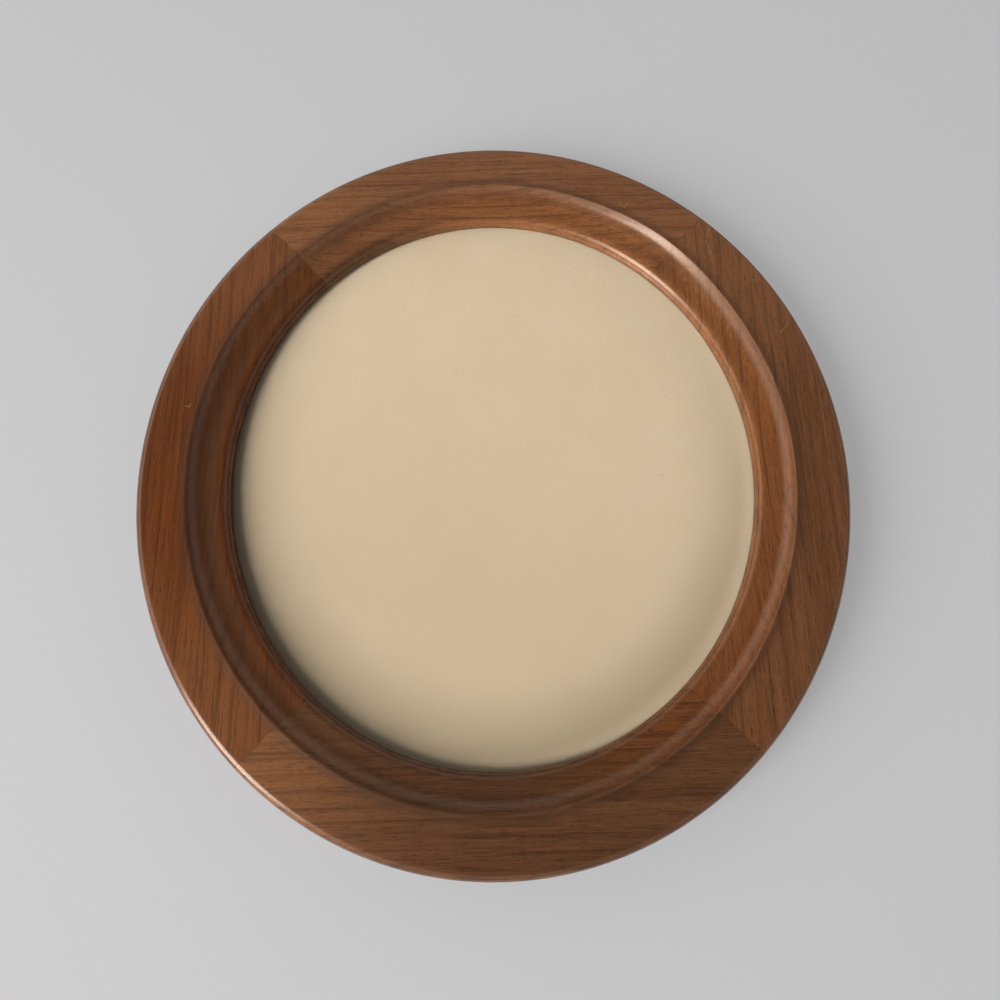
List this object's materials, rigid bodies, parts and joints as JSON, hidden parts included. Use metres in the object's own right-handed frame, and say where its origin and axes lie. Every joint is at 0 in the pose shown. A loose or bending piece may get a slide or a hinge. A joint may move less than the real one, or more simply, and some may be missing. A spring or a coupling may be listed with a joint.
{
  "type": "oval picture frame",
  "caption": "Oval walnut picture frame with mitred, moulded rails, glass over a plain cream card, and a back held by turn buttons with a ring hanger.",
  "frame": {"origin": "under the middle of the oval, on the surface that the bumpers stand on when the frame lies on its back", "axes": "+Z out of the picture, +Y towards the top of the picture along the oval's long axis, +X to the picture's right"},
  "size_m": [0.3734, 0.3988, 0.0263],
  "materials": {
    "walnut": "satin oiled walnut, straight grain along each rail",
    "spline_wood": "bare sawn beech",
    "glass": "clear polished",
    "cream_card": "matt, finely mottled",
    "backing": "bare hardboard",
    "brass": "brushed, lightly tarnished",
    "bumper_rubber": "matt"
  },
  "bodies": {
    "frame": {"rail_top": "walnut", "rail_bottom": "walnut", "rail_left": "walnut", "rail_right": "walnut", "spline_upper_left": "spline_wood", "spline_upper_right": "spline_wood", "spline_lower_left": "spline_wood", "spline_lower_right": "spline_wood", "glass_pane": "glass", "display_card": "cream_card", "backing_board": "backing", "turn_button_top_left_screw": "brass", "turn_button_top_right_screw": "brass", "turn_button_left_screw": "brass", "turn_button_right_screw": "brass", "turn_button_bottom_left_screw": "brass", "turn_button_bottom_right_screw": "brass", "hanger_plate": "brass", "hanger_screw_left": "brass", "hanger_screw_right": "brass", "bumper_top_left": "bumper_rubber", "bumper_top_right": "bumper_rubber", "bumper_bottom_left": "bumper_rubber", "bumper_bottom_right": "bumper_rubber"},
    "top_left_button": {"turn_button_top_left": "brass"},
    "top_right_button": {"turn_button_top_right": "brass"},
    "left_button": {"turn_button_left": "brass"},
    "right_button": {"turn_button_right": "brass"},
    "bottom_left_button": {"turn_button_bottom_left": "brass"},
    "bottom_right_button": {"turn_button_bottom_right": "brass"},
    "ring": {"hanger_ring": "brass"}
  },
  "joints": [
    {"name": "top_left_button_turn", "type": "hinge", "parent": "frame", "child": "top_left_button", "pos_m": [-0.05, 0.16055, 0.0051], "axis": [0, 0, 1], "continuous": true},
    {"name": "top_right_button_turn", "type": "hinge", "parent": "frame", "child": "top_right_button", "pos_m": [0.05, 0.16055, 0.0051], "axis": [0, 0, 1], "continuous": true},
    {"name": "left_button_turn", "type": "hinge", "parent": "frame", "child": "left_button", "pos_m": [-0.1567, 0, 0.0051], "axis": [0, 0, 1], "continuous": true},
    {"name": "right_button_turn", "type": "hinge", "parent": "frame", "child": "right_button", "pos_m": [0.1567, 0, 0.0051], "axis": [0, 0, 1], "continuous": true},
    {"name": "bottom_left_button_turn", "type": "hinge", "parent": "frame", "child": "bottom_left_button", "pos_m": [-0.05, -0.16055, 0.0051], "axis": [0, 0, 1], "continuous": true},
    {"name": "bottom_right_button_turn", "type": "hinge", "parent": "frame", "child": "bottom_right_button", "pos_m": [0.05, -0.16055, 0.0051], "axis": [0, 0, 1], "continuous": true},
    {"name": "ring_swing", "type": "hinge", "parent": "frame", "child": "ring", "pos_m": [0, 0.17645, 0.00335], "axis": [-1, 0, 0], "range_deg": [0, 165]}
  ]
}
